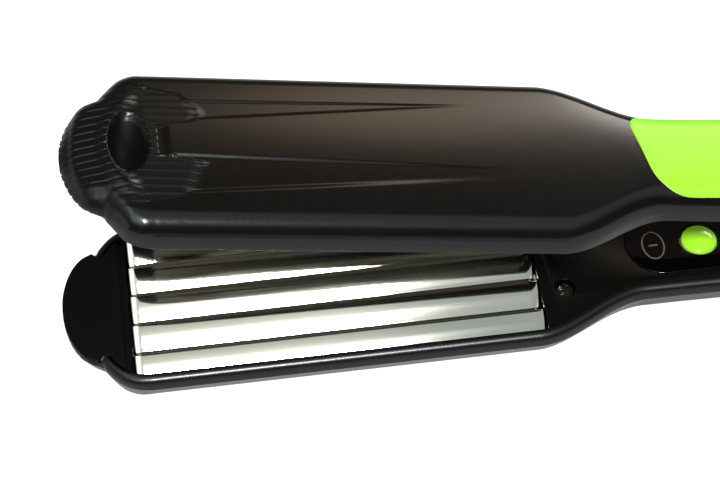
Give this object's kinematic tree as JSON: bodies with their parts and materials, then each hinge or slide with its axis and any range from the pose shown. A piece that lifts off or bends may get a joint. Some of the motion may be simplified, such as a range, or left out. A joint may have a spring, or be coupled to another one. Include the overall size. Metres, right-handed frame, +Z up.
{
  "type": "hair crimper",
  "caption": "Hair crimper with two hinged arms, corrugated metal heating plates that mesh, a push button, coloured grip inserts and a turning cord inlet.",
  "frame": {"origin": "middle of the bounding box on the plane that the lower arm lies on", "axes": "+X from the tips to the hinge, +Z up from the lower arm to the upper arm"},
  "size_m": [0.2858, 0.0468, 0.0664],
  "materials": {
    "shell": "satin",
    "inner_face": "matte",
    "grip": "satin",
    "plate": "polished",
    "panel": "gloss",
    "button": "gloss",
    "cap": "satin",
    "steel": "satin",
    "bush": "satin",
    "swivel": "matte",
    "screw": "satin",
    "ceramic": "matte",
    "insulation": "matte",
    "pad": "matte",
    "lead": "satin",
    "board": "satin"
  },
  "bodies": {
    "lower_arm": {"lower_casing": "shell", "lower_frame": "inner_face", "lower_grip": "grip", "lower_screw_1": "screw", "lower_screw_2": "screw", "lower_screw_3": "screw", "lower_screw_4": "screw", "lower_pad_front": "pad", "lower_pad_rear": "pad", "lower_lead_a": "lead", "lower_lead_b": "lead", "control_panel": "panel", "tact_switch": "panel", "control_board": "board", "relay": "ceramic", "tail_cover": "shell", "hinge_pin": "steel", "hinge_cap_near": "cap", "hinge_cap_far": "cap", "hinge_spring": "steel"},
    "upper_arm": {"upper_casing": "shell", "upper_frame": "inner_face", "upper_grip": "grip", "upper_screw_1": "screw", "upper_screw_2": "screw", "upper_screw_3": "screw", "upper_screw_4": "screw", "upper_pad_front": "pad", "upper_pad_rear": "pad", "upper_lead_a": "lead", "upper_lead_b": "lead", "hinge_bush_near": "bush", "hinge_bush_far": "bush"},
    "lower_heating_plate": {"lower_plate": "plate", "lower_heater": "ceramic", "lower_insulator": "insulation", "lower_heater_clip": "steel", "thermistor": "ceramic"},
    "upper_heating_plate": {"upper_plate": "plate", "upper_heater": "ceramic", "upper_insulator": "insulation", "upper_heater_clip": "steel", "thermal_fuse": "steel"},
    "button": {"power_button": "button"},
    "swivel": {"cord_swivel": "swivel"}
  },
  "joints": [
    {"name": "arm_hinge", "type": "hinge", "parent": "lower_arm", "child": "upper_arm", "pos_m": [0.1173, 0, 0.0109], "axis": [0, 1, 0], "range_deg": [-11, 0], "stiffness_Nm_per_rad": 0.6, "springref_deg": 20.05, "deforming": ["hinge_spring"]},
    {"name": "power_button_press", "type": "slide", "parent": "lower_arm", "child": "button", "axis": [0, 0, -1], "range_m": [0, 0.0005], "stiffness_N_per_m": 600, "springref_m": -0.0005},
    {"name": "lower_plate_float", "type": "slide", "parent": "lower_arm", "child": "lower_heating_plate", "axis": [0, 0, -1], "range_m": [0, 0.0007], "stiffness_N_per_m": 3000, "springref_m": -0.0007, "deforming": ["lower_pad_front", "lower_pad_rear"]},
    {"name": "upper_plate_float", "type": "slide", "parent": "upper_arm", "child": "upper_heating_plate", "axis": [0.1913, 0, 0.9815], "range_m": [0, 0.0007], "stiffness_N_per_m": 3000, "springref_m": -0.0007, "deforming": ["upper_pad_front", "upper_pad_rear"]},
    {"name": "cord_swivel_turn", "type": "hinge", "parent": "lower_arm", "child": "swivel", "pos_m": [0.1326, 0, 0.0102], "axis": [1, 0, 0], "continuous": true}
  ]
}
